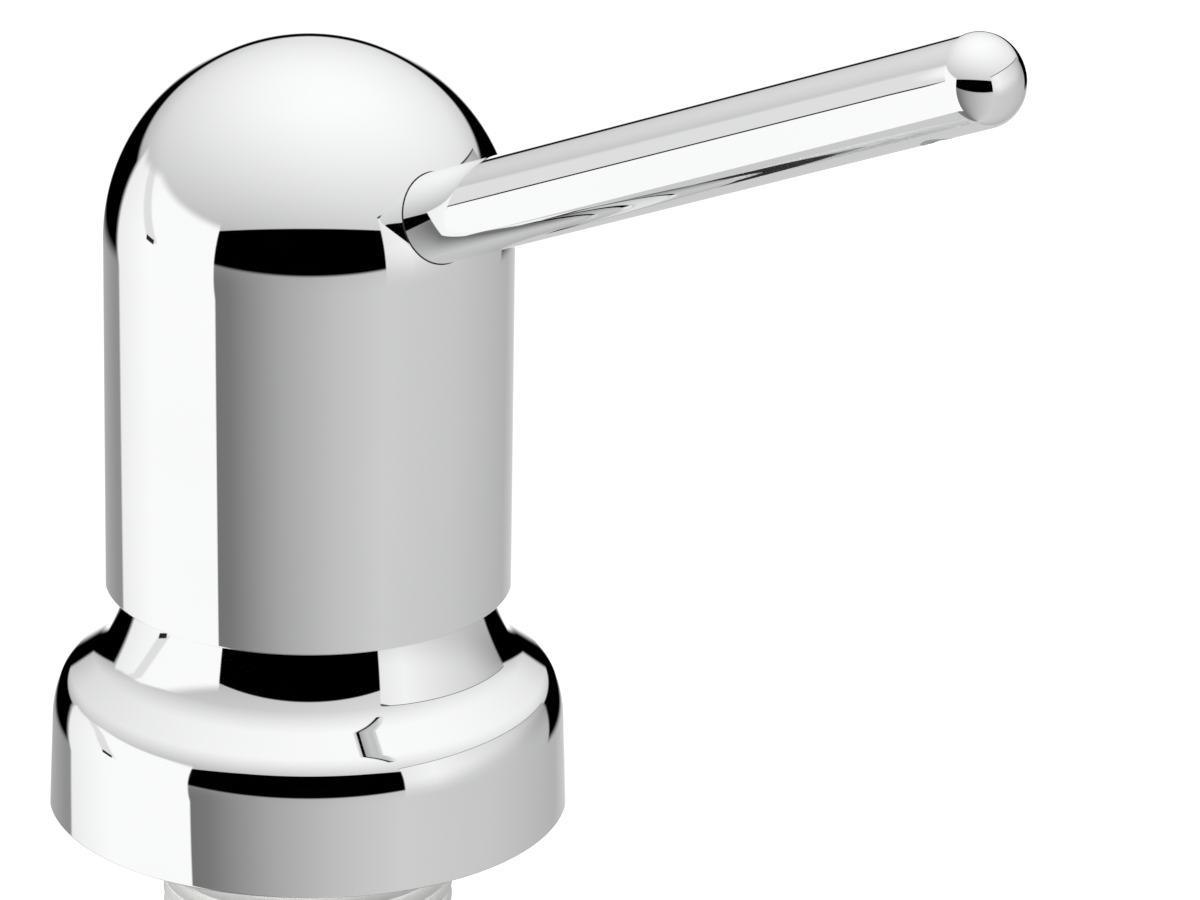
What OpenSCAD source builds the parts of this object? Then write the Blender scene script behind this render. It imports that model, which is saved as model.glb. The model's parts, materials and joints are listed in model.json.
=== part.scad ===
// Deck-mounted soap pump dispenser, in millimetres.
// The origin is the centre of the base flange's seat on the worktop.
// +Z is up and +X is the way the spout points.
// Above Z = 0 are the base flange and the pump head; below it are the shank, its clamp and the bottle.

/* [Base flange] */
// Diameter of the flange where it sits on the worktop
base_d = 50; // [49:0.5:54]
// Height of the nearly upright skirt
skirt_h = 8.7; // [8.4:0.1:8.9]
// Lean of the skirt from upright, in degrees
skirt_lean = 2.5; // [2:0.1:3]
// Steepest lean of the shoulder, in degrees
shoulder_lean = 54; // [52:1:56]
// Radius of the easy curve that leads from the skirt into the round edge
easing_r = 9.6; // [9.2:0.1:10]
// Radius of the round edge between the skirt and the shoulder
shoulder_r = 3.2; // [3:0.1:3.4]
// Length of the straight part of the shoulder
shoulder_len = 2.7; // [2.5:0.1:3]
// Radius of the tight hollow where the shoulder turns up into the neck
cove_r = 4.6; // [4.2:0.1:4.8]
// Radius of the long, slightly hollow neck
neck_curve_r = 22; // [20:1:24]

/* [Pump head] */
// Diameter of the domed head
head_d = 39; // [38:0.2:40]
// Height of the head's lower rim above the worktop
rim_z = 22.5; // [22:0.1:24]
// Height at which the upright wall meets the dome
dome_z = 57.2; // [56:0.2:60]
// Wall of the head shell
head_wall = 1.45; // [1.2:0.05:1.5]
// How far the head travels down in one stroke
stroke = 4; // [3:0.5:4]

/* [Spout] */
// Diameter of the spout
spout_d = 8.62; // [8.2:0.1:9]
// Rise of the spout above level, in degrees
spout_rise = 24.3; // [20:0.5:26]
// Length of the spout's straight side, from the head's axis
spout_len = 94.9; // [80:1:110]
// How far the spout's domed end stands beyond its straight side
spout_dome = 3.5; // [2:0.1:4.2]

/* [Deck clamp] */
// Outer diameter of the threaded shank
shank_d = 28; // [27.8:0.1:28.2]
// Thickness of worktop that the clamp stands ready for
deck_gap = 30; // [10:1:36]
// Length of shank below the worktop seat
shank_len = 64; // [64:1:70]

/* [Bottle] */
// Outer diameter of the bottle
bottle_d = 62; // [56:1:70]
// Height of the bottle below its neck's shoulder
bottle_h = 120; // [100:5:140]
// Wall of the bottle
bottle_wall = 1.3; // [1.1:0.1:1.8]

/* [Hidden] */
$fn = 96;

play = 0.05;      // running clearance of a sliding or turning fit, on the radius
slip = 0.03;      // clearance of a fixed fit, on the radius
eps = 0.01;

// Base flange and gasket
base_r = base_d / 2;
seat_rim = 2.4;                       // width of the metal rim around the gasket
gasket_t = 2.2;
relief_in = 18;                       // inside of the hollow under the skirt
relief_top = 8;                       // height of the hollow above the gasket
edge_break = 0.25;                    // softened outer corner of the seat
neck_top = 26.5;
hole_lip_r = 15.9;                    // the gasket's lip centres the base in the worktop's hole
hole_lip_h = 2.5;
shank_seat = 12;                      // how far the shank screws up into the flange
pump_bore = 12.4;

// Shank and clamp
shank_r = shank_d / 2;
shank_bore = 12.3;
rubber_t = 2.5;
washer_t = 1.5;
rubber_r = 22;
washer_r = 21;
nut_flange_t = 3;
nut_h = 10;
nut_across = 37;                      // across the flats
clamp_z = -deck_gap;                  // top of the rubber washer

// Bottle
bottle_r = bottle_d / 2;
neck_len = 12;                        // thread engagement on the shank
neck_r = 17.2;
seal_t = 1.5;
shank_end = -shank_len;
ledge_z = shank_end - seal_t;
ledge_t = 2;
shoulder_z = ledge_z - ledge_t;
bottle_end = shoulder_z - bottle_h;
bottle_round = 7;
push_up = 4;                          // height of the hollow in the bottle's foot

// Pump body, from the collar on the neck down to the dip tube's socket
collar_r = 16.4;
collar_t = 3;
body_r = 11.8;
barrel_r = 10.4;
barrel_top = 12;
bore_r = 8.5;
floor_z = -12 - stroke;               // a longer stroke needs a deeper barrel
ball_seat_z = floor_z - 6.5;
body_end = floor_z - 8;
spigot_end = body_end - 12;
spigot_r = 4.8;
inlet_r = 2;
inlet_ball_r = 3;
ball_room = 0.8;                      // room around the inlet ball
seat_h = 1.5;                         // height of the inlet ball's conical seat
vent_r = 0.75;
vent_z = 14;
seal_z = 20;                          // height of the O-ring between body and neck
seal_wire = 0.88;
seal_mid = 11.5;

// Guide bush and stem
bush_r = 10.2;
bush_end = 16;
bush_flange_t = 2;
bush_flange_r = 13;
wiper_r = 6.5;
stem_r = 4;
stem_bore = 2.2;
stem_end = 53;
valve_z = 50;                         // seat of the outlet ball
valve_bore = 3.1;
outlet_ball_r = 2.6;
ball_gap = 0.02;

// Piston and return spring
piston_low = 7;
piston_top = 15.9;
stem_seat = 10;                       // height of the ledge in the piston that the stem stands on
cup_low = 9.8;
cup_top = 12.4;
cup_in = 7.2;
cage_t = 1.5;
cage_holes = 4;
cage_hole_r = 1.1;
cage_hole_at = 3.2;
spring_wire = 1.1;
spring_mid = 6.7;
spring_turns = 6;

// Swivel clip in the stem's groove
clip_z = 42;
clip_t = 1;
clip_r = 5.5;
groove_r = 3.4;

// Head
head_r = head_d / 2;
head_in = head_r - head_wall;
skirt_in = head_r - 0.92;             // the lower wall is thinner, to pass over the neck
skirt_top = 28.5;
rim_in = head_r - 0.5;                // the rim's inner edge opens a little further
rim_bevel_h = 1;
core_low = 38;
core_top = 58;
core_r = head_in - 0.04;
core_rim = 2;
web_z = 49;
web_t = 3;
core_ribs = 6;
rib_w = 1.8;
rib_h = 9;
hub_r = 8.5;
socket_wall = 2.2;
socket_len = 30;                      // how far the spout's socket runs before the shell trims it
ring_z = 42.5;
ring_t = 1.2;
ring_bite = 0.55;                     // how far the retaining ring sits in the shell's wall
ring_depth = 1.5;
ring_split = 8;                       // width of the gap in the snap ring

// Spout, measured along its own axis from the head's axis
spout_z = 55.85;
spout_r = spout_d / 2;
spout_bore = 3.3;
spout_root = 10.5;
seal_root = 1.9;                      // room for the seal behind the spout's root
liner_r = 3;
liner_bore = 2;
liner_end = 86.5;
nozzle_s = 90;
nozzle_end = 94;
nozzle_r = 1.9;
nozzle_bore = 1.15;

// Dip tube
dip_r = 3.5;
dip_bore = 2.6;
dip_top = body_end - 1.5;
dip_end = bottle_end + 9;
dip_cut = 35;                         // slant of the tube's lower end, in degrees

// Points on an arc about (x, z), from angle a to angle b.
function arc(x, z, r, a, b, n = 24) =
    [for (i = [0:n]) let (t = a + (b - a) * i / n) [x + r * cos(t), z + r * sin(t)]];

module ring(outer, inner, low, top) {
    translate([0, 0, low])
        difference() {
            cylinder(r = outer, h = top - low);
            translate([0, 0, -1]) cylinder(r = inner, h = top - low + 2);
        }
}

module rod(r, low, top) {
    translate([0, 0, low]) cylinder(r = r, h = top - low);
}

// A ring with softened edges, turned from one outline.
module soft_ring(outer, inner, low, top, edge = 0.3) {
    rotate_extrude()
        polygon([
            [inner + edge, low], [outer - edge, low], [outer, low + edge], [outer, top - edge],
            [outer - edge, top], [inner + edge, top], [inner, top - edge], [inner, low + edge]]);
}

// Puts a child made along +Z onto the spout's axis.
module on_spout() {
    translate([0, 0, spout_z]) rotate([0, 90 - spout_rise, 0]) children();
}

// Outer line of the flange, from the foot of the skirt to the top of the neck.
skirt_r = base_r - skirt_h * tan(skirt_lean);
easing_x = skirt_r - easing_r * cos(skirt_lean);
easing_z = skirt_h - easing_r * sin(skirt_lean);
easing_lean = 23;
round_x = easing_x + (easing_r - shoulder_r) * cos(easing_lean);
round_z = easing_z + (easing_r - shoulder_r) * sin(easing_lean);
turn_x = round_x + shoulder_r * cos(shoulder_lean);
turn_z = round_z + shoulder_r * sin(shoulder_lean);
straight_x = turn_x - shoulder_len * sin(shoulder_lean);
straight_z = turn_z + shoulder_len * cos(shoulder_lean);
neck_lean = 26;
neck_end_lean = 8;
cove_x = straight_x + cove_r * cos(shoulder_lean);
cove_z = straight_z + cove_r * sin(shoulder_lean);
foot_x = cove_x - cove_r * cos(neck_lean);
foot_z = cove_z - cove_r * sin(neck_lean);
curve_x = foot_x + neck_curve_r * cos(neck_lean);
curve_z = foot_z + neck_curve_r * sin(neck_lean);
throat_r = curve_x - neck_curve_r * cos(neck_end_lean);
flange_line = concat(
    [[base_r - edge_break, 0], [base_r, edge_break]],
    arc(easing_x, easing_z, easing_r, skirt_lean, easing_lean, 12),
    arc(round_x, round_z, shoulder_r, easing_lean, shoulder_lean, 16),
    arc(cove_x, cove_z, cove_r, 180 + shoulder_lean, 180 + neck_lean, 12),
    arc(curve_x, curve_z, neck_curve_r, 180 + neck_lean, 180 + neck_end_lean, 16),
    [[throat_r, neck_top - edge_break], [throat_r - edge_break, neck_top]]);

module base_flange() {
    color("gainsboro")
        difference() {
            rotate_extrude($fn = 180) polygon(concat(flange_line, [[1, neck_top], [1, 0]]));
            rod(pump_bore, -1, neck_top + 1);
            rod(shank_r + slip, -1, shank_seat + slip);
            rod(base_r - seat_rim, -1, gasket_t);
            ring(base_r - seat_rim - 1, relief_in, -1, relief_top);
        }
}

module base_gasket() {
    inner = shank_r + 0.4;
    color("dimgray") {
        soft_ring(base_r - seat_rim - slip, inner, 0, gasket_t - slip, 0.2);
        ring(hole_lip_r, inner, -hole_lip_h, 1);
    }
}

module shank() {
    color("white") ring(shank_r, shank_bore, shank_end, shank_seat);
}

module deck_washer() {
    color("dimgray") soft_ring(rubber_r, shank_r + 0.6, clamp_z - rubber_t, clamp_z);
}

module clamp_washer() {
    color("silver")
        soft_ring(washer_r, shank_r + 0.4, clamp_z - rubber_t - washer_t, clamp_z - rubber_t, 0.15);
}

module mounting_nut() {
    top = clamp_z - rubber_t - washer_t;
    hex_r = nut_across / 2 / cos(30);
    color("lightsteelblue")
        difference() {
            union() {
                rod(nut_across / 2 + 1.2, top - nut_flange_t, top);
                intersection() {
                    translate([0, 0, top - nut_h]) cylinder(r = hex_r, h = nut_h - 1, $fn = 6);
                    translate([0, 0, top - nut_h])
                        cylinder(r1 = hex_r - 1.6, r2 = hex_r + 14, h = nut_h);
                }
            }
            rod(shank_r + play, top - nut_h - 1, top + 1);
        }
}

// The bottle's outer line, inset by a wall thickness for its inside.
function bottle_line(inset) =
    let (
        r = bottle_r - inset,
        b = bottle_round - inset,
        foot_r = bottle_r - bottle_round,
        foot_z = bottle_end + bottle_round,
        top_x = bottle_r - bottle_round * 1.6,
        top_z = shoulder_z - 4 - bottle_round * 1.6)
    concat(
        [[0, bottle_end + push_up + inset], [foot_r - 9, bottle_end + push_up + inset]],
        [[foot_r - 2, bottle_end + inset]],
        arc(foot_r, foot_z, b, -90, 0, 12),
        arc(top_x, top_z, bottle_round * 1.6 - inset, 0, 72, 12));

module bottle() {
    color("whitesmoke")
        difference() {
            union() {
                rotate_extrude()
                    polygon(concat(bottle_line(0), [[neck_r - 2, shoulder_z + 1], [0, shoulder_z + 1]]));
                rod(neck_r, shoulder_z, shank_end + neck_len);
                rod(neck_r + 1.5, shank_end + neck_len - 8, shank_end + neck_len - 5.5);
            }
            rotate_extrude()
                polygon(concat(bottle_line(bottle_wall),
                    [[shank_bore, shoulder_z - 2], [0, shoulder_z - 2]]));
            rod(shank_bore, shoulder_z - 8, ledge_z + 1);
            rod(shank_r + play, ledge_z, shank_end + neck_len + 1);
        }
}

module bottle_seal() {
    color("dimgray") ring(shank_r, shank_bore, ledge_z, shank_end - slip);
}

module pump_body() {
    color("white")
        difference() {
            union() {
                rod(collar_r, neck_top, neck_top + collar_t);
                rod(body_r, barrel_top, neck_top + 1);
                translate([0, 0, barrel_top - 1.4]) cylinder(r1 = barrel_r, r2 = body_r, h = 1.4);
                rod(barrel_r, body_end, barrel_top);
                rod(spigot_r, spigot_end, body_end + 1);
            }
            rod(bore_r, floor_z, neck_top + collar_t + 1);
            rod(bush_r, bush_end, neck_top + collar_t + 1);
            rod(inlet_ball_r + ball_room, ball_seat_z + seat_h, floor_z + 1);
            translate([0, 0, ball_seat_z])
                cylinder(r1 = inlet_r, r2 = inlet_ball_r + ball_room, h = seat_h);
            rod(inlet_r, body_end - 2, ball_seat_z + eps);
            rod(dip_r + slip, spigot_end - 1, dip_top + slip);
            ring(body_r + 1, seal_mid - seal_wire, seal_z - seal_wire - 0.1, seal_z + seal_wire + 0.1);
            translate([0, 0, vent_z]) rotate([0, 90, 0]) cylinder(r = vent_r, h = body_r + 1, $fn = 24);
        }
}

module neck_seal() {
    color("dimgray")
        translate([0, 0, seal_z])
            rotate_extrude() translate([seal_mid, 0]) circle(r = seal_wire - 0.02, $fn = 24);
}

module guide_bush() {
    top = neck_top + collar_t;
    color("lightsteelblue")
        difference() {
            union() {
                rod(bush_r - slip, bush_end, top + 0.5);
                rod(bush_flange_r, top, top + bush_flange_t);
            }
            rod(stem_r + play, bush_end - 1, top + bush_flange_t + 1);
            rod(wiper_r, top, top + bush_flange_t + 1);
            ring(bush_r - 1.6, stem_r + 1.8, bush_end - 1, top - 2);
        }
}

module stem_wiper() {
    top = neck_top + collar_t;
    color("dimgray") soft_ring(wiper_r - slip, stem_r + play, top, top + bush_flange_t - 0.1, 0.2);
}

module ball_cage() {
    color("lightsteelblue")
        difference() {
            rod(bore_r - slip, floor_z, floor_z + cage_t);
            for (i = [1:cage_holes])
                rotate(360 / cage_holes * (i - 0.5))
                    translate([cage_hole_at, 0, floor_z - 1])
                        cylinder(r = cage_hole_r, h = cage_t + 2, $fn = 24);
        }
}

module inlet_ball() {
    rest = ball_seat_z + sqrt(pow(inlet_ball_r, 2) - pow(inlet_r, 2)) + ball_gap;
    color("silver") translate([0, 0, rest]) sphere(r = inlet_ball_r, $fn = 64);
}

module dip_tube() {
    color("whitesmoke")
        difference() {
            ring(dip_r, dip_bore, dip_end, dip_top);
            translate([-dip_r, 0, dip_end])
                rotate([0, -dip_cut, 0])
                    translate([-10, -10, -20]) cube([30, 20, 20]);
        }
}

// Steps of the round wire along the coil; its first and last turns lie nearly flat.
spring_low = floor_z + cage_t + spring_wire / 2 + 0.02;
spring_high = piston_low - spring_wire / 2 - 0.02;
steps_a_turn = 20;
wire_sides = 8;
spring_steps = spring_turns * steps_a_turn;
function ease(t) = t * t * (3 - 2 * t);
function spring_share(t) = 0.06 * t + 0.94 * ease(t);
function spring_point(i, j) =
    let (
        t = i / spring_steps,
        a = 360 * i / steps_a_turn,
        b = 360 * j / wire_sides,
        r = spring_mid + spring_wire / 2 * cos(b),
        z = spring_low + (spring_high - spring_low) * spring_share(t) + spring_wire / 2 * sin(b))
    [r * cos(a), r * sin(a), z];

module return_spring() {
    n = wire_sides;
    points = [for (i = [0:spring_steps], j = [0:n - 1]) spring_point(i, j)];
    sides = [for (i = [0:spring_steps - 1], j = [0:n - 1])
        let (k = (j + 1) % n) [i * n + j, i * n + k, (i + 1) * n + k, (i + 1) * n + j]];
    ends = [
        [for (j = [n - 1:-1:0]) j],
        [for (j = [0:n - 1]) spring_steps * n + j]];
    color("silver") polyhedron(points, concat(sides, ends));
}

module piston() {
    color("lightsteelblue")
        difference() {
            rod(bore_r - play, piston_low, piston_top);
            rod(stem_r + slip, stem_seat, piston_top + 1);
            rod(stem_bore, piston_low - 1, stem_seat + 1);
            ring(bore_r + 1, cup_in, cup_low, cup_top);
        }
}

module piston_seal() {
    color("dimgray")
        soft_ring(bore_r - 0.02, cup_in + slip, cup_low + slip, cup_top - slip, 0.35);
}

module stem() {
    color("white")
        difference() {
            rod(stem_r, stem_seat + slip, stem_end);
            rod(stem_bore, stem_seat - 1, valve_z + 1);
            rod(valve_bore, valve_z, stem_end + 1);
            ring(stem_r + 1, groove_r, clip_z - play, clip_z + clip_t + play);
        }
}

module swivel_clip() {
    color("silver")
        difference() {
            ring(clip_r, groove_r + slip, clip_z, clip_z + clip_t);
            translate([-2.4, 0, clip_z - 1]) cube([4.8, clip_r + 1, clip_t + 2]);
        }
}

module outlet_ball() {
    rest = valve_z + sqrt(pow(outlet_ball_r, 2) - pow(stem_bore, 2)) + ball_gap;
    color("silver") translate([0, 0, rest]) sphere(r = outlet_ball_r, $fn = 64);
}

// Carrier inside the head: a hub on the stem, a web, a rim against the shell, and a socket for the spout.
module head_core() {
    rim_low = ring_z + ring_t + play;
    color("lightsteelblue")
        difference() {
            union() {
                rod(hub_r, core_low, core_top);
                rod(core_r, web_z, web_z + web_t);
                ring(core_r, core_r - core_rim, rim_low, dome_z);
                for (i = [1:core_ribs])
                    rotate(360 / core_ribs * (i - 0.5))
                        translate([0, -rib_w / 2, rim_low + 1]) cube([core_r - 1, rib_w, rib_h]);
                intersection() {
                    on_spout() rod(spout_r + socket_wall, 0, socket_len);
                    rod(core_r - 0.5, core_low, core_top + 5);
                }
            }
            rod(stem_r + play, core_low - 1, stem_end + play);
            rod(clip_r + 0.2, clip_z - 0.2, clip_z + clip_t + 0.2);
            rod(valve_bore, stem_end - 1, spout_z + 0.5);
            on_spout() rod(liner_bore, 0, socket_len);
            on_spout() rod(spout_r + slip, spout_root - seal_root, socket_len);
        }
}

module retaining_ring() {
    color("silver")
        difference() {
            ring(head_in + ring_bite, head_in - ring_depth, ring_z, ring_z + ring_t);
            translate([-head_r - 1, -ring_split / 2, ring_z - 1]) cube([10, ring_split, ring_t + 2]);
        }
}

module head_shell() {
    color("gainsboro")
        difference() {
            union() {
                rod(head_r, rim_z, dome_z);
                translate([0, 0, dome_z]) sphere(r = head_r, $fn = 128);
            }
            rod(head_in, rim_z - 1, dome_z);
            translate([0, 0, dome_z]) sphere(r = head_in, $fn = 128);
            rod(skirt_in, rim_z - 1, skirt_top);
            translate([0, 0, rim_z - eps]) cylinder(r1 = rim_in, r2 = skirt_in, h = rim_bevel_h);
            rod(head_in + ring_bite + slip, ring_z - slip, ring_z + ring_t + slip);
            on_spout() rod(spout_r + slip, 0, 40);
        }
}

// Outline of the spout's closed, domed end.
function dome_line(r, rise, base, n = 12) =
    [for (i = [0:n]) let (a = 90 * i / n) [r * cos(a), base + rise * sin(a)]];

module nozzle_hole(r) {
    on_spout() translate([0, 0, nozzle_s]) rotate([0, 90 + spout_rise, 0]) cylinder(r = r, h = 20);
}

module spout_tube() {
    color("gainsboro")
        difference() {
            on_spout()
                rotate_extrude()
                    polygon(concat([[0, spout_root], [spout_r, spout_root]],
                        dome_line(spout_r, spout_dome, spout_len)));
            on_spout() rod(spout_bore, spout_root - 1, spout_len - 0.6);
            nozzle_hole(nozzle_r + slip);
        }
}

module spout_seal() {
    color("dimgray")
        on_spout()
            ring(spout_r - play, liner_bore + 0.4, spout_root - seal_root + 0.1, spout_root - slip);
}

module spout_liner() {
    color("whitesmoke") on_spout() ring(liner_r, liner_bore, spout_root, liner_end);
}

module outlet_nozzle() {
    color("lightsteelblue")
        difference() {
            union() {
                on_spout() rod(spout_bore - slip, liner_end + slip, nozzle_end);
                intersection() {
                    nozzle_hole(nozzle_r);
                    on_spout() rod(spout_r - 0.02, 0, spout_len);
                }
            }
            on_spout() rod(liner_bore, liner_end - 1, nozzle_s);
            nozzle_hole(nozzle_bore);
        }
}

base_flange();
base_gasket();
shank();
deck_washer();
clamp_washer();
mounting_nut();
bottle();
bottle_seal();
pump_body();
neck_seal();
guide_bush();
stem_wiper();
ball_cage();
inlet_ball();
dip_tube();
return_spring();
piston();
piston_seal();
stem();
swivel_clip();
outlet_ball();
head_core();
retaining_ring();
head_shell();
spout_tube();
spout_seal();
spout_liner();
outlet_nozzle();
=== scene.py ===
import json
import math

import bmesh
import bpy
from mathutils import Matrix, Vector


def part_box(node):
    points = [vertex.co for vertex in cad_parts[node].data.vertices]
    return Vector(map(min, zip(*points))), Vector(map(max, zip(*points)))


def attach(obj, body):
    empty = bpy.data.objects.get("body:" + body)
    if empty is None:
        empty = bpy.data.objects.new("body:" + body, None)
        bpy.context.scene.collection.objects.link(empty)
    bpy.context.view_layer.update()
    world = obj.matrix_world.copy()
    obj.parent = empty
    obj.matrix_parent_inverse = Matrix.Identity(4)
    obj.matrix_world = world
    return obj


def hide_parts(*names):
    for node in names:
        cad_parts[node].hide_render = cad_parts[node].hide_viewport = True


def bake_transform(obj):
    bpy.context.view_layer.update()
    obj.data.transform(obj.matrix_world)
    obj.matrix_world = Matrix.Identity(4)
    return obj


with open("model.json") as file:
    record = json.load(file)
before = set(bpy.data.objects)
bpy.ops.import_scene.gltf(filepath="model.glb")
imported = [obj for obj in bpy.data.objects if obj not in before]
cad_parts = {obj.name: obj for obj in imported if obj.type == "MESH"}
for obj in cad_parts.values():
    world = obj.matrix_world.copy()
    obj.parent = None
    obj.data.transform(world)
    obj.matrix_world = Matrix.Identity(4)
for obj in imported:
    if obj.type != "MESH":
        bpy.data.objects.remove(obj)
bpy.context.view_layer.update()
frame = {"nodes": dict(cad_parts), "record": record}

MM = 0.001

# The CAD's main sizes, in millimetres and degrees. Heights are above the worktop.
# SPOUT_R, SPOUT_DOME and BOTTLE_R are a hair under the CAD's, so the visual stays inside its box.
BASE_R, SKIRT_H, SKIRT_LEAN = 25.0, 8.7, 2.5
EASING_R, EASING_LEAN = 9.6, 23.0
SHOULDER_R, SHOULDER_LEAN, SHOULDER_LEN = 3.2, 54.0, 2.7
COVE_R, NECK_CURVE_R, NECK_LEAN, NECK_END_LEAN = 4.6, 22.0, 26.0, 8.0
NECK_TOP, NECK_BORE = 26.5, 12.4
SEAT_RIM, GASKET_T, RELIEF_IN, RELIEF_TOP = 2.4, 2.2, 18.0, 8.0
HEAD_R, HEAD_WALL, RIM_Z, DOME_Z = 19.5, 1.45, 22.5, 57.2
SKIRT_IN, SKIRT_TOP, RIM_IN = 18.58, 28.5, 19.0
SPOUT_R, SPOUT_Z, SPOUT_RISE = 4.307, 55.85, 24.3
SPOUT_ROOT, SPOUT_LEN, SPOUT_DOME = 10.5, 94.9, 3.49
NOZZLE_S, NOZZLE_HOLE = 90.0, 1.93
SHANK_R, SHANK_BORE, SHANK_END, SHANK_TOP = 14.0, 12.3, -64.0, 12.0
SHANK_PLAY = 0.03
THREAD_PITCH = 1.5


# ---------------------------------------------------------------- materials

def material(name):
    """A new material, its node tree and its shader."""
    mat = bpy.data.materials.new(name)
    mat.use_nodes = True
    tree = mat.node_tree
    shader = next(n for n in tree.nodes if n.type == "BSDF_PRINCIPLED")
    return mat, tree, shader


def noise(tree, scale, detail=3.0, stretch=(1, 1, 1)):
    """Cloudy noise over the piece, whose cells are smaller as scale grows."""
    coord = tree.nodes.new("ShaderNodeTexCoord")
    mapping = tree.nodes.new("ShaderNodeMapping")
    mapping.inputs["Scale"].default_value = stretch
    tex = tree.nodes.new("ShaderNodeTexNoise")
    tex.inputs["Scale"].default_value = scale
    tex.inputs["Detail"].default_value = detail
    tex.inputs["Roughness"].default_value = 0.5
    tree.links.new(coord.outputs["Object"], mapping.inputs["Vector"])
    tree.links.new(mapping.outputs["Vector"], tex.inputs["Vector"])
    return tex.outputs["Fac"]


NOISE_LOW, NOISE_HIGH = 0.3, 0.7        # noise rarely goes past these


def spread(tree, value, low, high):
    """Noise turned into a run from low to high."""
    node = tree.nodes.new("ShaderNodeMapRange")
    node.inputs["From Min"].default_value = NOISE_LOW
    node.inputs["From Max"].default_value = NOISE_HIGH
    node.inputs["To Min"].default_value = low
    node.inputs["To Max"].default_value = high
    tree.links.new(value, node.inputs["Value"])
    return node.outputs["Result"]


def two_tone(tree, value, a, b):
    """Noise turned into a blend of two colours."""
    ramp = tree.nodes.new("ShaderNodeValToRGB")
    ends = ramp.color_ramp.elements
    ends[0].position, ends[0].color = NOISE_LOW, (*a, 1)
    ends[1].position, ends[1].color = NOISE_HIGH, (*b, 1)
    tree.links.new(value, ramp.inputs["Fac"])
    return ramp.outputs["Color"]


def bump(tree, shader, value, strength, distance):
    """A surface that rises and falls with value by distance."""
    node = tree.nodes.new("ShaderNodeBump")
    node.inputs["Strength"].default_value = strength
    node.inputs["Distance"].default_value = distance
    tree.links.new(value, node.inputs["Height"])
    tree.links.new(node.outputs["Normal"], shader.inputs["Normal"])


def metal(name, a, b, rough, scale, stretch=(1, 1, 1), bump_mm=0.0):
    """Bare or plated metal between two colours and two roughnesses."""
    mat, tree, shader = material(name)
    shader.inputs["Metallic"].default_value = 1.0
    cloud = noise(tree, scale, stretch=stretch)
    tree.links.new(two_tone(tree, cloud, a, b), shader.inputs["Base Color"])
    tree.links.new(spread(tree, cloud, *rough), shader.inputs["Roughness"])
    if bump_mm:
        bump(tree, shader, cloud, 0.3, bump_mm * MM)
    return mat


GRAIN_FINER = 12        # a plastic's grain against its clouds


def plastic(name, a, b, rough, scale, bump_mm=0.02, clear=0.0):
    """Plastic or rubber between two colours and two roughnesses, with a fine grain."""
    mat, tree, shader = material(name)
    shader.inputs["IOR"].default_value = 1.5
    if clear:
        shader.inputs["Transmission Weight"].default_value = clear
    cloud = noise(tree, scale)
    grain = noise(tree, scale * GRAIN_FINER, detail=2)
    tree.links.new(two_tone(tree, cloud, a, b), shader.inputs["Base Color"])
    tree.links.new(spread(tree, cloud, *rough), shader.inputs["Roughness"])
    bump(tree, shader, grain, 0.25, bump_mm * MM)
    return mat


# Every slot of the record: name, two colours, roughness from and to, noise scale.
BY_SLOT = {
    "chrome_plate": metal(
        "chrome_plate", (0.915, 0.918, 0.922), (0.93, 0.932, 0.935), (0.012, 0.03), 60),
    "steel": metal(
        "stainless_steel", (0.52, 0.53, 0.54), (0.62, 0.63, 0.64), (0.22, 0.36), 90,
        stretch=(1, 1, 6), bump_mm=0.01),
    "rubber": plastic(
        "rubber_black", (0.012, 0.012, 0.013), (0.03, 0.03, 0.031), (0.55, 0.75), 120, bump_mm=0.04),
    "white_plastic": plastic(
        "plastic_white", (0.80, 0.80, 0.785), (0.86, 0.86, 0.845), (0.3, 0.42), 70),
    "grey_plastic": plastic(
        "plastic_grey", (0.20, 0.21, 0.22), (0.25, 0.26, 0.27), (0.34, 0.48), 70),
    "bottle_plastic": plastic(
        "bottle_translucent", (0.84, 0.86, 0.85), (0.90, 0.91, 0.90), (0.28, 0.4), 25,
        bump_mm=0.03, clear=0.35),
    "clear_tube": plastic(
        "tube_translucent", (0.82, 0.85, 0.85), (0.88, 0.9, 0.9), (0.25, 0.35), 60,
        bump_mm=0.01, clear=0.3)}
slot_of = {s["node"]: s["material_slot"] for s in frame["record"]["subparts"]}
for name, obj in frame["nodes"].items():
    obj.data.materials.clear()
    obj.data.materials.append(BY_SLOT[slot_of[name]])


# ---------------------------------------------------------------- mesh tools

MERGE = 1e-7            # metres between points that are one
SHARP = 35.0            # degrees between faces that meet in a sharp edge


def joined(name, verts, faces, merge=0.0):
    """A mesh from points in millimetres, with its faces turned outwards."""
    mesh = bpy.data.meshes.new(name)
    mesh.from_pydata([Vector(v) * MM for v in verts], [], faces)
    bm = bmesh.new()
    bm.from_mesh(mesh)
    if merge:
        bmesh.ops.remove_doubles(bm, verts=bm.verts, dist=merge)
    bmesh.ops.recalc_face_normals(bm, faces=bm.faces)
    bm.to_mesh(mesh)
    bm.free()
    return mesh


def place_in_scene(name, data):
    obj = bpy.data.objects.new(name, data)
    bpy.context.scene.collection.objects.link(obj)
    return obj


def add_mesh(name, verts, faces, body, slot, replaces=(), sharp=SHARP):
    """A visible piece that rides a body, or none yet, and stands for CAD nodes."""
    mesh = joined(name, verts, faces, MERGE)
    mesh.shade_smooth()
    mesh.set_sharp_from_angle(angle=math.radians(sharp))
    mesh.materials.append(BY_SLOT[slot])
    obj = place_in_scene(name, mesh)
    if replaces:
        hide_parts(*replaces)
    if body:
        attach(obj, body)
    return obj


def circle(steps):
    """The angles of that many even steps round a circle."""
    return [2 * math.pi * k / steps for k in range(steps)]


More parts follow.
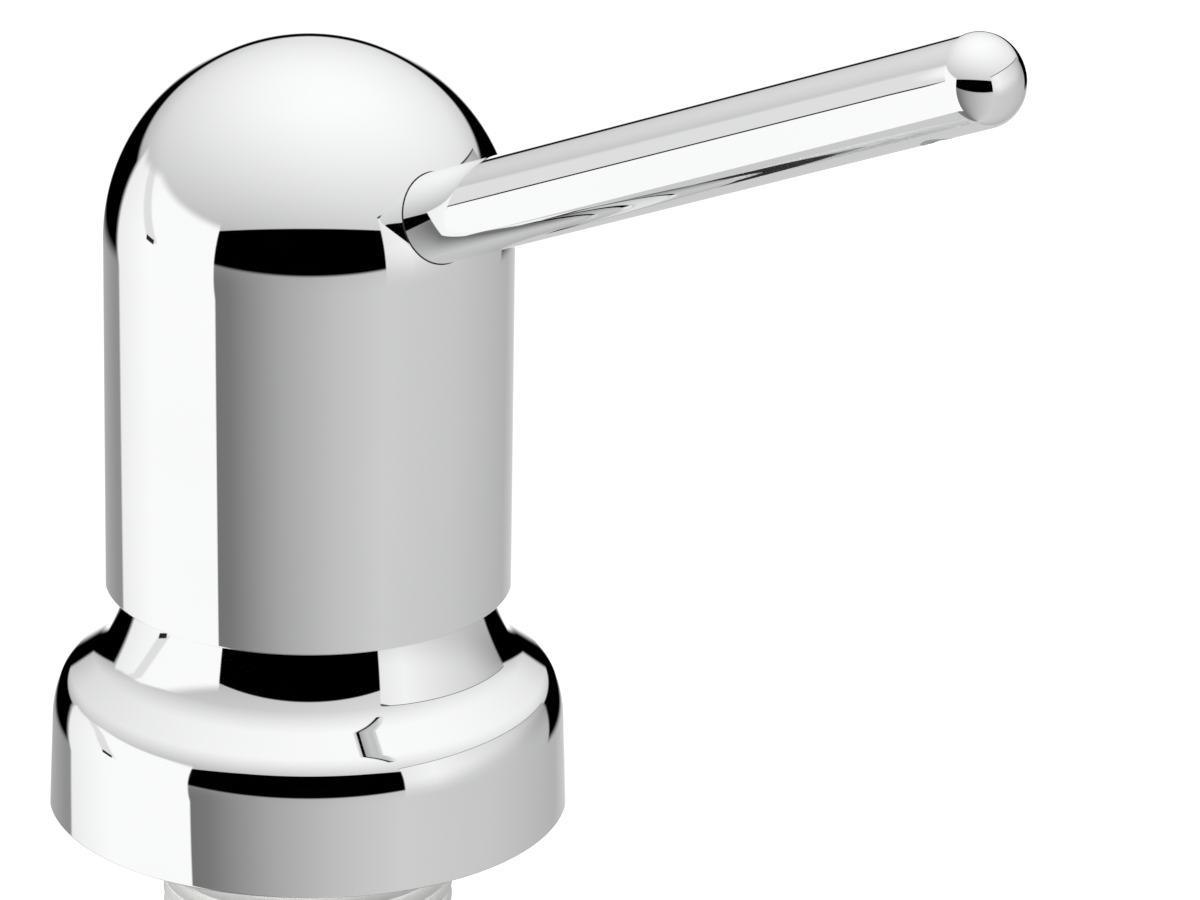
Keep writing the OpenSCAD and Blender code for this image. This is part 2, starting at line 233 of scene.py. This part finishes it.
def bands(rows, steps, closed=True):
    """The faces between rows of points, where each row is a ring of that many steps."""
    faces = []
    for i in range(rows if closed else rows - 1):
        at, ahead = i * steps, (i + 1) % rows * steps
        for k in range(steps):
            m = (k + 1) % steps
            faces.append((at + k, at + m, ahead + m, ahead + k))
    return faces


def arc(x, z, r, a, b, n):
    """Points of an arc about (x, z) from a to b degrees, in n steps."""
    return [
        (x + r * math.cos(math.radians(t)), z + r * math.sin(math.radians(t)))
        for t in (a + (b - a) * i / n for i in range(n + 1))]


CORNER_STEPS = 5
LONGEST_CUT = 0.49      # share of a side that a rounded corner may take


def rounded(points, radii):
    """A closed outline whose corners are rounded to the radii given."""
    out = []
    for i, (p, r) in enumerate(zip(points, radii)):
        p = Vector(p)
        before = Vector(points[i - 1]) - p
        after = Vector(points[(i + 1) % len(points)]) - p
        if r <= 0:
            out.append(tuple(p))
            continue
        half = before.angle(after) / 2
        cut = min(r / math.tan(half), before.length * LONGEST_CUT, after.length * LONGEST_CUT)
        a, b = p + before.normalized() * cut, p + after.normalized() * cut
        for k in range(CORNER_STEPS + 1):
            t = k / CORNER_STEPS
            out.append(tuple(a * (1 - t) ** 2 + p * 2 * t * (1 - t) + b * t ** 2))
    return out


def lathe(name, outline, body, slot, replaces=(), steps=192, place=None):
    """A body turned from a closed (radius, height) outline."""
    verts = [(r * math.cos(a), r * math.sin(a), z) for r, z in outline for a in circle(steps)]
    if place:
        verts = [place @ Vector(v) for v in verts]
    faces = [
        f for f in bands(len(outline), steps)
        if len({tuple(round(c, 6) for c in verts[i]) for i in f}) > 2]
    return add_mesh(name, verts, faces, body, slot, replaces)


# The spout's own frame: its axis is Z and its start is on the head's axis.
ON_SPOUT = Matrix.Translation((0, 0, SPOUT_Z)) @ Matrix.Rotation(math.radians(90 - SPOUT_RISE), 4, "Y")


# ---------------------------------------------------------------- base flange

def tan_deg(a):
    return math.tan(math.radians(a))


def on_circle(x, z, r, a):
    """The point at r from (x, z), a degrees up."""
    return x + r * math.cos(math.radians(a)), z + r * math.sin(math.radians(a))


# The outside runs up the skirt, over an easing and a tighter round, in along a straight, and up
# the neck by a cove and a wider curve.
skirt_top_r = BASE_R - SKIRT_H * tan_deg(SKIRT_LEAN)
easing_x, easing_z = on_circle(skirt_top_r, SKIRT_H, -EASING_R, SKIRT_LEAN)
round_x, round_z = on_circle(easing_x, easing_z, EASING_R - SHOULDER_R, EASING_LEAN)
turn = on_circle(round_x, round_z, SHOULDER_R, SHOULDER_LEAN)
straight = on_circle(*turn, SHOULDER_LEN, SHOULDER_LEAN + 90)
cove = on_circle(*straight, COVE_R, SHOULDER_LEAN)
foot = on_circle(*cove, -COVE_R, NECK_LEAN)
curve = on_circle(*foot, NECK_CURVE_R, NECK_LEAN)
throat_r = on_circle(*curve, -NECK_CURVE_R, NECK_END_LEAN)[0]
seat_in = BASE_R - SEAT_RIM
bore_r = SHANK_R + SHANK_PLAY
SKIRT_EDGE, SEAT_EDGE, RIM_WIDE = 0.3, 0.15, 1.0
base_outline = (
    arc(BASE_R - SKIRT_EDGE, SKIRT_EDGE, SKIRT_EDGE, -90, 0, 6)
    + arc(easing_x, easing_z, EASING_R, SKIRT_LEAN, EASING_LEAN, 30)
    + arc(round_x, round_z, SHOULDER_R, EASING_LEAN, SHOULDER_LEAN, 30)
    + arc(*cove, COVE_R, 180 + SHOULDER_LEAN, 180 + NECK_LEAN, 20)
    + arc(*curve, NECK_CURVE_R, 180 + NECK_LEAN, 180 + NECK_END_LEAN, 20)
    + [(throat_r, NECK_TOP - SKIRT_EDGE), (throat_r - SKIRT_EDGE, NECK_TOP)]
    + [(NECK_BORE, NECK_TOP), (NECK_BORE, SHANK_TOP), (bore_r, SHANK_TOP)]
    + [(bore_r, GASKET_T), (RELIEF_IN, GASKET_T), (RELIEF_IN, RELIEF_TOP)]
    + [(seat_in - RIM_WIDE, RELIEF_TOP), (seat_in - RIM_WIDE, GASKET_T)]
    + [(seat_in, GASKET_T), (seat_in, SEAT_EDGE), (seat_in + SEAT_EDGE, 0)])
lathe("base_body", base_outline, "base", "chrome_plate", ["base_flange"], 256)


# ---------------------------------------------------------------- pump head

def from_middle(p):
    """From the cap's axis, or above it from the dome's centre, out to the point."""
    return Vector((p.x, p.y, max(0.0, p.z - DOME_Z)))


RIM_EDGE, RIM_STEP = 0.22, 0.1
head_outline = (
    arc(HEAD_R - RIM_EDGE, RIM_Z + RIM_EDGE, RIM_EDGE, -90, 0, 6)
    + arc(0, DOME_Z, HEAD_R, 0, 90, 72)
    + arc(0, DOME_Z, HEAD_R - HEAD_WALL, 90, 0, 24)
    + [(HEAD_R - HEAD_WALL, SKIRT_TOP), (SKIRT_IN, SKIRT_TOP), (SKIRT_IN, RIM_Z + 1)]
    + [(RIM_IN, RIM_Z + RIM_STEP), (RIM_IN + RIM_STEP, RIM_Z)])
lathe("head_cap", head_outline, "head", "chrome_plate", ["head_shell"], 256)

SPOUT_ROWS, TIP_ROWS = 12, 24
spout_outline = (
    [(0, SPOUT_ROOT), (SPOUT_R, SPOUT_ROOT)]
    + [(SPOUT_R, SPOUT_ROOT + (SPOUT_LEN - SPOUT_ROOT) * i / SPOUT_ROWS) for i in range(1, SPOUT_ROWS)]
    + [(SPOUT_R * math.cos(math.radians(a)), SPOUT_LEN + SPOUT_DOME * math.sin(math.radians(a)))
       for a in (90 * i / TIP_ROWS for i in range(TIP_ROWS + 1))])
spout = lathe("spout_pipe", spout_outline, "head", "chrome_plate", ["spout_tube"], 128, ON_SPOUT)


def cut(piece, verts, faces):
    """Takes a closed tool shape out of a piece."""
    tool = place_in_scene("tool", joined("tool", verts, faces))
    change = piece.modifiers.new("cut", "BOOLEAN")
    change.operation = "DIFFERENCE"
    change.solver = "EXACT"
    change.object = tool
    bpy.context.view_layer.update()
    done = bpy.data.meshes.new_from_object(piece.evaluated_get(bpy.context.evaluated_depsgraph_get()))
    piece.modifiers.clear()
    piece.data = done
    done.set_sharp_from_angle(angle=math.radians(SHARP))
    bpy.data.objects.remove(tool)


# The hole on the underside that the outlet nozzle fills.
HOLE_STEPS, HOLE_DEPTH = 64, 8.0
mouth = ON_SPOUT @ Vector((0, 0, NOZZLE_S))
hole = [
    (mouth.x + math.cos(a) * NOZZLE_HOLE, mouth.y + math.sin(a) * NOZZLE_HOLE, mouth.z - drop)
    for drop in (0, HOLE_DEPTH) for a in circle(HOLE_STEPS)]
hole_ends = [tuple(range(HOLE_STEPS)), tuple(range(HOLE_STEPS, 2 * HOLE_STEPS))]
cut(spout, hole, bands(2, HOLE_STEPS, closed=False) + hole_ends)


# The seam bead is painted shade: a black ring where the gap between the spout and the cap lies in shadow.
BEAD_R, BEAD_SIDES, BEAD_STEPS, BEAD_OFF = 0.06, 8, 128, 0.02
ROOT_FROM, ROOT_TO, HALVINGS = 10.0, 30.0, 30


def root_point(turn):
    """Where a line along the spout's outside leaves the cap."""
    off = SPOUT_R + BEAD_OFF
    low, high = ROOT_FROM, ROOT_TO
    for _ in range(HALVINGS):
        s = (low + high) / 2
        p = ON_SPOUT @ Vector((off * math.cos(turn), off * math.sin(turn), s))
        if from_middle(p).length < HEAD_R:
            low = s
        else:
            high = s
    return p


def seam_shade_ring():
    """A fine dark bead laid in the corner between the spout and the cap: painted shade, a black ring
    standing for the shadow in the seam there.
    """
    points = [root_point(a) for a in circle(BEAD_STEPS)]
    verts = []
    for i, p in enumerate(points):
        ahead = (points[(i + 1) % BEAD_STEPS] - points[i - 1]).normalized()
        across = ahead.cross(from_middle(p).normalized()).normalized()
        out = across.cross(ahead)
        verts += [p + (out * math.sin(a) + across * math.cos(a)) * BEAD_R for a in circle(BEAD_SIDES)]
    add_mesh("spout_seam_shade", verts, bands(BEAD_STEPS, BEAD_SIDES), "head", "rubber")


seam_shade_ring()


# ---------------------------------------------------------------- below the worktop

def turned(name, rows, bore, radius_at, body, slot, replaces, steps=144, sharp=40.0):
    """A tube whose outer radius at each height and angle is given by radius_at(z, angle)."""
    verts = []
    for z in rows:
        for a in circle(steps):
            r = radius_at(z, a)
            verts.append((r * math.cos(a), r * math.sin(a), z))
    for z in (rows[-1], rows[0]):
        verts += [(bore * math.cos(a), bore * math.sin(a), z) for a in circle(steps)]
    return add_mesh(name, verts, bands(len(rows) + 2, steps), body, slot, replaces, sharp)


THREAD_DEPTH, THREAD_TOP, THREAD_END, RUN_OUT = 0.85, -2.0, -2.5, 1.5
THREAD_STEEP, THREAD_SINK = 1.5, 0.25   # slope of the flanks and how far they start below the root
PLAIN_FROM, TIP_SHARE = -10, 0.2        # above this the run-out goes to the full radius
THREAD_ROWS = 44 * 6
CREST_R = SHANK_R - 0.01


def thread_radius(z, a):
    """A rounded thread that runs out at the shank's two ends."""
    phase = (z / THREAD_PITCH - a / (2 * math.pi)) % 1.0
    wave = min(max(THREAD_STEEP * abs(2 * phase - 1) - THREAD_SINK, 0.0), 1.0)
    ends = min(
        1.0, max(0.0, (z - SHANK_END) / RUN_OUT), max(0.0, (THREAD_END - z) / RUN_OUT))
    root = SHANK_R - THREAD_DEPTH
    plain = 1.0 if z > PLAIN_FROM else TIP_SHARE
    return root + (CREST_R - root) * (wave * ends + (1 - ends) * plain)


shank_rows = [SHANK_END + (THREAD_TOP - SHANK_END) * i / THREAD_ROWS for i in range(THREAD_ROWS + 1)]
shank_rows += [2.0, SHANK_TOP - 0.5, SHANK_TOP]
turned("shank_threaded", shank_rows, SHANK_BORE, thread_radius, "base", "white_plastic", ["shank"])

NUT_TOP, NUT_FLANGE, NUT_H, NUT_ACROSS = -34.0, 3.0, 10.0, 37.0
NUT_EDGE, NUT_FLANGE_OUT, NUT_PLAY = 0.5, 1.18, 0.06
NUT_CUT, NUT_CUT_SLOPE, NUT_TRIM = 1.6, 1.56, 0.15
hex_r = NUT_ACROSS / 2 / math.cos(math.radians(30))
nut_low = NUT_TOP - NUT_H
flange_low = NUT_TOP - NUT_FLANGE


def nut_radius(z, a):
    """Six flats with cut corners, under a round flange with softened edges."""
    if z > flange_low:
        edge = min(NUT_TOP - z, z - flange_low)
        drop = math.sqrt(max(0.0, NUT_EDGE ** 2 - max(0.0, NUT_EDGE - edge) ** 2))
        return NUT_ACROSS / 2 + NUT_FLANGE_OUT - max(0.0, NUT_EDGE - drop)
    sector = a % math.radians(60) - math.radians(30)
    flat = NUT_ACROSS / 2 / math.cos(sector)
    corner = hex_r - NUT_CUT + NUT_CUT_SLOPE * (z - nut_low) - NUT_TRIM
    return min(flat, corner, hex_r - 0.25)


nut_rows = [nut_low + v for v in (0, 0.15, 0.3, 0.45, 0.6, 0.75, 0.9, 1.1, 1.4, 3, 5, 6.99)]
nut_rows += [flange_low + 0.005 + 0.49 * i / 5 for i in range(6)]
nut_rows += [NUT_TOP - NUT_EDGE + NUT_EDGE * i / 5 for i in range(6)]
turned(
    "clamp_nut", nut_rows, SHANK_R + NUT_PLAY, nut_radius, "nut", "grey_plastic", ["mounting_nut"],
    steps=192, sharp=25.0)

BOTTLE_R, BOTTLE_WALL, BOTTLE_END, BOTTLE_ROUND, PUSH_UP = 30.98, 1.3, -187.5, 7.0, 4.0
BOTTLE_TOP, BOTTLE_LEDGE, BOTTLE_MOUTH, BOTTLE_NECK_R = -67.5, -65.5, -52.0, 17.2
BEAD_LOW, BEAD_TOP, BEAD_OUT = -60.0, -57.5, 1.49
PANEL_DEPTH, PANEL_EASE, PANEL_STEPS = 0.45, 2.0, 8
TRIM = 0.01             # keeps the foot and mouth just inside the CAD's box
foot_r, foot_z = BOTTLE_R - BOTTLE_ROUND, BOTTLE_END + BOTTLE_ROUND
shoulder_r = BOTTLE_ROUND * 1.6
top_x, top_z = BOTTLE_R - shoulder_r, BOTTLE_TOP - 4 - shoulder_r
panel_low, panel_high = foot_z + 6, top_z - 4
mouth_z, neck_in, push_r, stand_r = BOTTLE_MOUTH - TRIM, SHANK_R + 0.1, foot_r - 9, foot_r - 2


def panel_edge(t):
    """Radius of the wall, eased from the full radius into the label panel."""
    return BOTTLE_R - PANEL_DEPTH * (0.5 - 0.5 * math.cos(math.pi * t))


shares = [i / PANEL_STEPS for i in range(PANEL_STEPS + 1)]
outside = (
    [(0, BOTTLE_END + PUSH_UP), (push_r, BOTTLE_END + PUSH_UP), (stand_r, BOTTLE_END + TRIM)]
    + arc(foot_r, foot_z, BOTTLE_ROUND - TRIM, -90, 0, 24)
    + [(panel_edge(t), panel_low + PANEL_EASE * t) for t in shares]
    + [(panel_edge(t), panel_high - PANEL_EASE * t) for t in reversed(shares)]
    + arc(top_x, top_z, shoulder_r, 0, 72, 24))
neck = rounded(
    [(BOTTLE_NECK_R, BOTTLE_TOP - 0.4), (BOTTLE_NECK_R, BEAD_LOW), (BOTTLE_NECK_R + BEAD_OUT, BEAD_LOW),
     (BOTTLE_NECK_R + BEAD_OUT, BEAD_TOP), (BOTTLE_NECK_R, BEAD_TOP), (BOTTLE_NECK_R, mouth_z),
     (neck_in, mouth_z), (neck_in, BOTTLE_LEDGE), (SHANK_BORE, BOTTLE_LEDGE)],
    [1.2, 0.4, 0.5, 0.5, 0.4, 0.5, 0.3, 0, 0])
inside = (
    [(SHANK_BORE, BOTTLE_TOP - 2)]
    + arc(top_x, top_z, shoulder_r - BOTTLE_WALL, 72, 0, 12)
    + arc(foot_r, foot_z, BOTTLE_ROUND - BOTTLE_WALL, 0, -90, 12)
    + [(stand_r, BOTTLE_END + BOTTLE_WALL), (push_r, BOTTLE_END + PUSH_UP + BOTTLE_WALL)]
    + [(0, BOTTLE_END + PUSH_UP + BOTTLE_WALL)])
lathe("bottle_shell", outside + neck + inside, "bottle", "bottle_plastic", ["bottle"])


# ---------------------------------------------------------------- inside the pump

SPRING_WIRE, SPRING_MID, SPRING_TURNS, SPRING_FLAT = 1.1, 6.7, 6, 0.06
spring_low, spring_high = (corner.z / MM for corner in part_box("return_spring"))


def spring_height(t):
    """Height of the wire's middle along the coil; the end turns lie nearly flat."""
    share = SPRING_FLAT * t + (1 - SPRING_FLAT) * t * t * (3 - 2 * t)
    low, high = spring_low + SPRING_WIRE / 2, spring_high - SPRING_WIRE / 2
    return low + (high - low) * share


COIL_STEPS, WIRE_SIDES = SPRING_TURNS * 48, 14
wire_r = SPRING_WIRE / 2 - 0.005
coil = []
for i in range(COIL_STEPS + 1):
    a = 2 * math.pi * i * SPRING_TURNS / COIL_STEPS
    for b in circle(WIRE_SIDES):
        r = SPRING_MID + wire_r * math.cos(b)
        z = spring_height(i / COIL_STEPS) + wire_r * math.sin(b)
        coil.append((r * math.cos(a), r * math.sin(a), z))
coil_faces = bands(COIL_STEPS + 1, WIRE_SIDES, closed=False)
coil_faces += [tuple(at + k for k in range(WIRE_SIDES)) for at in (0, COIL_STEPS * WIRE_SIDES)]
spring = add_mesh("spring_coil", coil, coil_faces, None, "steel", ["return_spring"])
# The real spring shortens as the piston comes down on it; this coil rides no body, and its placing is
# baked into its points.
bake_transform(spring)


# ---------------------------------------------------------------- studio

# The camera's place, in degrees and millimetres, and the small turns that frame the picture.
AZIMUTH = 47.8
ELEVATION = 21.5
DISTANCE = 870.4
TARGET = (0, 0, 30)
LENS = 273.38
YAW, PITCH, ROLL = -1.86, 0.351, -0.098
SIDE_SHIFT = 0.45

toward = Vector((math.sin(math.radians(AZIMUTH)), -math.cos(math.radians(AZIMUTH)), 0))
right = Vector((math.cos(math.radians(AZIMUTH)), math.sin(math.radians(AZIMUTH)), 0))
back = toward * math.cos(math.radians(ELEVATION)) + Vector((0, 0, math.sin(math.radians(ELEVATION))))
place = Vector(TARGET) + back * DISTANCE - right * SIDE_SHIFT
cam_right, cam_up, cam_fwd = right.copy(), back.cross(right), -back
turn_yaw = Matrix.Rotation(math.radians(YAW), 3, cam_up)
cam_fwd, cam_right = turn_yaw @ cam_fwd, turn_yaw @ cam_right
turn_pitch = Matrix.Rotation(math.radians(PITCH), 3, cam_right)
cam_fwd, cam_up = turn_pitch @ cam_fwd, turn_pitch @ cam_up
turn_roll = Matrix.Rotation(math.radians(ROLL), 3, cam_fwd)
cam_right, cam_up = turn_roll @ cam_right, turn_roll @ cam_up
cam_data = bpy.data.cameras.new("camera")
cam_data.sensor_width = 36
cam_data.lens = LENS
cam_data.clip_end = 200
camera = place_in_scene("camera", cam_data)
axes = Matrix((cam_right, cam_up, -cam_fwd)).transposed()
camera.matrix_world = Matrix.Translation(place * MM) @ axes.to_4x4()
bpy.context.scene.camera = camera


class Sky:
    """Builds the studio's surroundings as light by direction: walls, cards and ceiling."""

    def __init__(self, tree):
        self.tree = tree

    def math(self, op, a, b=None, c=None):
        """One sum on up to three numbers or node outputs."""
        node = self.tree.nodes.new("ShaderNodeMath")
        node.operation = op
        for socket, value in zip(node.inputs, (a, b, c)):
            if value is None:
                continue
            if isinstance(value, (int, float)):
                socket.default_value = value
            else:
                self.tree.links.new(value, socket)
        return node.outputs[0]

    def step(self, value, low, high, a=0.0, b=1.0):
        """Goes smoothly from a to b as value goes from low to high."""
        node = self.tree.nodes.new("ShaderNodeMapRange")
        node.interpolation_type = "SMOOTHSTEP"
        flip = low > high
        node.inputs["From Min"].default_value = high if flip else low
        node.inputs["From Max"].default_value = low if flip else high
        node.inputs["To Min"].default_value = b if flip else a
        node.inputs["To Max"].default_value = a if flip else b
        self.tree.links.new(value, node.inputs["Value"])
        return node.outputs["Result"]

    def both(self, *masks):
        """1 where all the masks are 1."""
        out = masks[0]
        for m in masks[1:]:
            out = self.math("MULTIPLY", out, m)
        return out

    def mix(self, mask, a, b):
        """a where the mask is 0, b where it is 1."""
        node = self.tree.nodes.new("ShaderNodeMix")
        for socket, value in zip((node.inputs[0], node.inputs[2], node.inputs[3]), (mask, a, b)):
            if isinstance(value, (int, float)):
                socket.default_value = value
            else:
                self.tree.links.new(value, socket)
        return node.outputs[0]

    def ramp(self, value, low, high, stops):
        """A run of grey levels along value, given as (value, level)."""
        node = self.tree.nodes.new("ShaderNodeValToRGB")
        share = self.math("DIVIDE", self.math("SUBTRACT", value, low), high - low)
        self.tree.links.new(share, node.inputs["Fac"])
        marks = node.color_ramp.elements
        while len(marks) < len(stops):
            marks.new(0.5)
        for mark, (at, level) in zip(marks, stops):
            mark.position = (at - low) / (high - low)
            mark.color = (level, level, level, 1)
        return node.outputs["Color"]


world = bpy.data.worlds.new("studio")
bpy.context.scene.world = world
world.use_nodes = True
tree = world.node_tree
sky = Sky(tree)
coord = tree.nodes.new("ShaderNodeTexCoord")
mapping = tree.nodes.new("ShaderNodeMapping")
mapping.inputs["Rotation"].default_value = (0, 0, math.radians(90 - AZIMUTH))
tree.links.new(coord.outputs["Generated"], mapping.inputs["Vector"])
split = tree.nodes.new("ShaderNodeSeparateXYZ")
tree.links.new(mapping.outputs["Vector"], split.inputs["Vector"])
# After the turn, X points towards the camera and Y to the picture's right.
front, side, up = split.outputs
azimuth = sky.math("MULTIPLY", sky.math("ARCTAN2", side, front), 180 / math.pi)
height = sky.math("MULTIPLY", sky.math("ARCSINE", up), 180 / math.pi)
outward = sky.math("ABSOLUTE", azimuth)
# Levels are of light, angles are in degrees: height above level, azimuth from the camera to the right.
CEILING_LEVEL, CEILING_UP, CEILING_FRONT, CEILING_SIDE = 0.561, 0.465, -0.129, 0.09
ceiling = sky.math(
    "ADD", sky.math("MULTIPLY", up, CEILING_UP),
    sky.math(
        "ADD", sky.math("MULTIPLY", front, CEILING_FRONT),
        sky.math("MULTIPLY_ADD", side, CEILING_SIDE, CEILING_LEVEL)))
floor_level = sky.ramp(azimuth, -180, 180, [
    (-180, 1.05), (-168, 0.45), (-140, 0.3), (-54, 0.18), (-45, 0.2), (-15, 0.41), (15, 0.56),
    (43, 0.65), (90, 0.6), (145, 0.47), (165, 0.62), (180, 1.05)])
# Under the spout, away from the camera, the floor is one even grey.
FAR_FLOOR_LEVEL = 0.63
far_side = sky.math("MAXIMUM", sky.step(azimuth, -88, -96), sky.step(azimuth, 140, 150))
floor_level = sky.mix(sky.both(far_side, sky.step(height, -25, -29)), floor_level, FAR_FLOOR_LEVEL)
level = sky.mix(sky.step(height, -14, 22), floor_level, ceiling)


NEARLY_FLAT = 0.02      # keeps a slope from being divided by zero
RIGHT_FACING, RIGHT_LOW_SHARE, RIGHT_EDGE_LEVEL = 63, 0.82, 0.1


def card_slope(facing):
    """How steeply a direction climbs against a card that faces the part from this azimuth."""
    turn = sky.math("RADIANS", sky.math("SUBTRACT", azimuth, facing))
    reach = sky.math("MULTIPLY", sky.math("COSINE", turn), sky.math("COSINE", sky.math("RADIANS", height)))
    return sky.math("DIVIDE", up, sky.math("MAXIMUM", reach, NEARLY_FLAT))


# The card on the right: brightest near its front end, with a dark top edge.
right_slope = card_slope(RIGHT_FACING)
right_span = sky.both(sky.step(azimuth, 42.2, 43), sky.step(azimuth, 136, 134))
right_level = sky.ramp(azimuth, 43, 136, [
    (43, 0.88), (58, 0.96), (75, 0.86), (90, 0.78), (105, 0.7), (120, 0.56), (136, 0.4)])
right_low = sky.math("MULTIPLY", right_level, RIGHT_LOW_SHARE)
right_level = sky.mix(sky.step(height, 9, -6), right_level, right_low)
right_card = sky.both(right_span, sky.step(right_slope, 0.5, 0.49), sky.step(height, -14, 0))
level = sky.mix(right_card, level, right_level)
right_edge = sky.both(right_span, sky.step(right_slope, 0.485, 0.49), sky.step(right_slope, 0.515, 0.51))
level = sky.mix(right_edge, level, RIGHT_EDGE_LEVEL)

# The card on the left. A slanted strip of it, seen along the spout, is duller above a dark edge.
LEFT_TOP_MOST, LEFT_BRIGHT = 20, 1.03
STRIP_AT, STRIP_LEAN, STRIP_LEVEL = -102.0, 1.1, 0.79
EDGE_HEIGHT, EDGE_AT, EDGE_LEVEL = -4.2, -98.8, 0.02
left_top = sky.ramp(azimuth, -140, -50, [(-140, 0.5), (-126, 0.525), (-108, 0.85), (-54, 0.85)])
left_top = sky.math("MULTIPLY", left_top, LEFT_TOP_MOST)
left_level = sky.ramp(azimuth, -140, -50, [(-140, 0.84), (-120, 0.92), (-100, 1.0), (-54, 1.0)])
left_level = sky.math("MULTIPLY", left_level, LEFT_BRIGHT)
strip = sky.math("ADD", azimuth, sky.math("MULTIPLY_ADD", height, STRIP_LEAN, -STRIP_AT))
strip = sky.math("ABSOLUTE", strip)
strip = sky.both(sky.step(strip, 6.4, 3.2), sky.step(azimuth, -87, -90))
left_level = sky.mix(sky.both(strip, sky.step(height, -4.6, -3.8)), left_level, STRIP_LEVEL)
edge = sky.math("ABSOLUTE", sky.math("ADD", height, -EDGE_HEIGHT))
edge_span = sky.math("ABSOLUTE", sky.math("ADD", azimuth, -EDGE_AT))
edge_mask = sky.both(sky.step(edge_span, 3.8, 2.8), sky.step(edge, 1.1, 0.7))
left_level = sky.mix(edge_mask, left_level, EDGE_LEVEL)
left_card = sky.both(
    sky.step(azimuth, -134, -131), sky.step(azimuth, -53, -54),
    sky.step(sky.math("SUBTRACT", height, left_top), 2.5, -2.5), sky.step(height, -56.5, -55.5))
level = sky.mix(left_card, level, left_level)

# The black card in front, the dark far end and the bright gap straight behind.
CARD_BLACK, GAP_WHITE = 0.0, 1.08
slope = sky.math("DIVIDE", up, sky.math("MAXIMUM", front, NEARLY_FLAT))
front_card = sky.both(
    sky.step(azimuth, -54, -53.2), sky.step(azimuth, 43, 42.2), sky.step(slope, 0.462, 0.448),
    sky.step(height, -3, -1))
level = sky.mix(front_card, level, CARD_BLACK)
far_top = sky.step(outward, 150, 178, 5, 9)
far_card = sky.both(
    sky.step(outward, 133, 136), sky.step(height, -20, -16),
    sky.step(sky.math("SUBTRACT", height, far_top), 1.5, -1.5))
level = sky.mix(far_card, level, CARD_BLACK)
far_white = sky.both(
    sky.step(outward, 166, 173), sky.step(height, 2.5, -1), sky.step(height, -30, -26))
level = sky.mix(far_white, level, GAP_WHITE)

# Only mirrored rays see the cards. Other rays find an even, pale room and the camera plain white.
ROOM_LOW, ROOM_HIGH, BACKDROP = 0.62, 0.85, 1.0
path = tree.nodes.new("ShaderNodeLightPath")
even = sky.mix(sky.step(up, -0.2, 1.0), ROOM_LOW, ROOM_HIGH)
level = sky.mix(path.outputs["Is Glossy Ray"], even, level)
level = sky.mix(path.outputs["Is Camera Ray"], level, BACKDROP)
background = next(n for n in tree.nodes if n.type == "BACKGROUND")
tree.links.new(level, background.inputs["Color"])

# A soft lamp over the camera's left, in metres and watts, that only matt surfaces see.
LAMP_SIZE, LAMP_WATTS, LAMP_OUT = 0.9, 9, 0.9
lamp_data = bpy.data.lights.new("soft_key", "AREA")
lamp_data.size = LAMP_SIZE
lamp_data.energy = LAMP_WATTS
lamp = place_in_scene("soft_key", lamp_data)
lamp.visible_glossy = False
lamp.visible_camera = False
lamp_at = (toward - right + Vector((0, 0, 1))) * LAMP_OUT
lamp.matrix_world = Matrix.Translation(lamp_at) @ lamp_at.to_track_quat("Z", "Y").to_matrix().to_4x4()

# A pale floor, low enough for the unscrewed bottle; its reach is in metres.
FLOOR_Z, FLOOR_REACH = -201.5, 40
floor_mesh = bpy.data.meshes.new("floor")
floor_mesh.from_pydata(
    [(x * FLOOR_REACH, y * FLOOR_REACH, FLOOR_Z * MM) for x, y in ((-1, -1), (1, -1), (1, 1), (-1, 1))],
    [], [(0, 1, 2, 3)])
floor = place_in_scene("floor", floor_mesh)
floor.visible_glossy = False
pale, pale_tree, pale_shader = material("floor_pale")
pale_shader.inputs["Roughness"].default_value = 0.9
pale_shader.inputs["Specular IOR Level"].default_value = 0.0
pale_shader.inputs["Emission Color"].default_value = (1, 1, 1, 1)
pale_shader.inputs["Emission Strength"].default_value = 0.45
pale_tree.links.new(
    two_tone(pale_tree, noise(pale_tree, 3), (0.82, 0.82, 0.82), (0.84, 0.84, 0.84)),
    pale_shader.inputs["Base Color"])
floor_mesh.materials.append(pale)

bpy.context.scene.view_settings.view_transform = "Standard"
